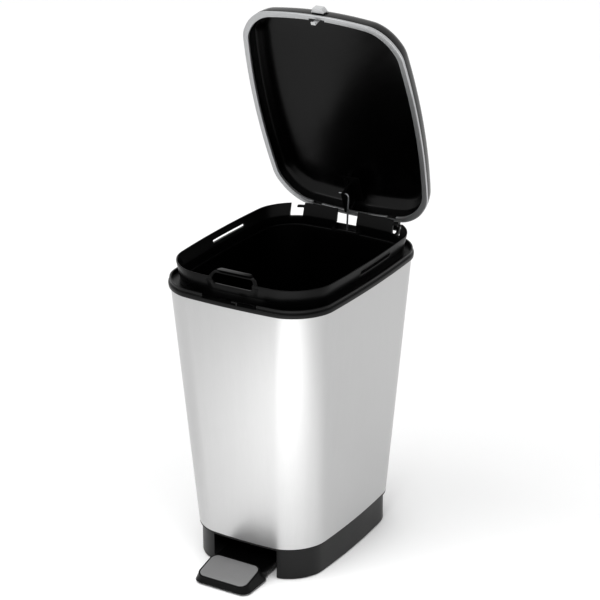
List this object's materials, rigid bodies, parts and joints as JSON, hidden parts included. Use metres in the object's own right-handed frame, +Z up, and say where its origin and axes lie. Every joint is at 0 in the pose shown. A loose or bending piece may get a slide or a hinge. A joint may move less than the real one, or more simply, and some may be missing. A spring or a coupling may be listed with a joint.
{
  "type": "pedal waste bin",
  "caption": "Tapered rectangular pedal bin: silver sleeve on a black base, black rim, bag ring with finger grip, domed lid held open, pedal pressed, push-rod linkage.",
  "frame": {"origin": "on the floor, under the middle of the bin's body and of the whole object's width and depth", "axes": "+Z up, +X to the bin's right seen from behind it (the viewer's right when facing the pedal), the pedal and the lid's latch on the -Y side, the lid hinge on the +Y side"},
  "size_m": [0.295, 0.4457, 0.8486],
  "materials": {
    "silver_sleeve": "satin silver metallic skin on a plastic sleeve",
    "silver_trim": "satin silver metallic",
    "lid_black": "semi-matt black, polished a little on the outside",
    "base_black": "fine-grained matt black",
    "tub_black": "matt black",
    "rim_black": "satin black",
    "ring_black": "satin black",
    "pedal_black": "fine-grained matt black",
    "fitting_black": "plain black",
    "latch_grey": "light grey satin",
    "pad_grey": "matt grey",
    "rod_steel": "drawn steel wire",
    "lever_steel": "zinc-plated sheet",
    "pin_steel": "bright steel",
    "screw_steel": "zinc-plated",
    "foot_rubber": "matt black"
  },
  "bodies": {
    "bin": {"outer_sleeve": "silver_sleeve", "base_plinth": "base_black", "inner_tub": "tub_black", "top_rim": "rim_black", "bag_ring": "ring_black", "axle_bearing_left": "fitting_black", "axle_bearing_right": "fitting_black", "rod_guide_lower": "fitting_black", "rod_guide_upper": "fitting_black", "hinge_pin_left": "pin_steel", "hinge_pin_right": "pin_steel", "lever_axle": "pin_steel", "base_screw_1": "screw_steel", "base_screw_2": "screw_steel", "base_screw_3": "screw_steel", "base_screw_4": "screw_steel", "bearing_screw_left": "screw_steel", "bearing_screw_right": "screw_steel", "foot_front_left": "foot_rubber", "foot_front_right": "foot_rubber", "foot_rear_left": "foot_rubber", "foot_rear_right": "foot_rubber"},
    "lid": {"lid_shell": "lid_black", "lid_trim_ring": "silver_trim", "rod_bracket": "fitting_black", "bracket_screw_1": "screw_steel", "bracket_screw_2": "screw_steel"},
    "latch": {"lid_latch": "latch_grey"},
    "pedal": {"pedal_lever": "lever_steel", "pedal_body": "pedal_black", "pedal_pad": "pad_grey", "pedal_screw_1": "screw_steel", "pedal_screw_2": "screw_steel"},
    "rod": {"push_rod": "rod_steel"}
  },
  "joints": [
    {"name": "lid_hinge", "type": "hinge", "parent": "bin", "child": "lid", "pos_m": [0, 0.198, 0.4722], "axis": [1, 0, 0], "range_deg": [0, 70.36]},
    {"name": "pedal_pivot", "type": "hinge", "parent": "bin", "child": "pedal", "pos_m": [0, -0.061, 0.022], "axis": [1, 0, 0], "range_deg": [-15.12, 0]},
    {"name": "push_rod_slide", "type": "slide", "parent": "bin", "child": "rod", "axis": [0, 0.0697, 0.9976], "range_m": [-0.053, 0]},
    {"name": "latch_slide", "type": "slide", "parent": "lid", "child": "latch", "axis": [1, 0, 0], "range_m": [0, 0.008]}
  ],
  "couplings": [
    {"joint": "pedal_pivot", "follows": "lid_hinge", "ratio": -0.21461},
    {"joint": "push_rod_slide", "follows": "lid_hinge", "m_per_rad": -0.043078}
  ]
}
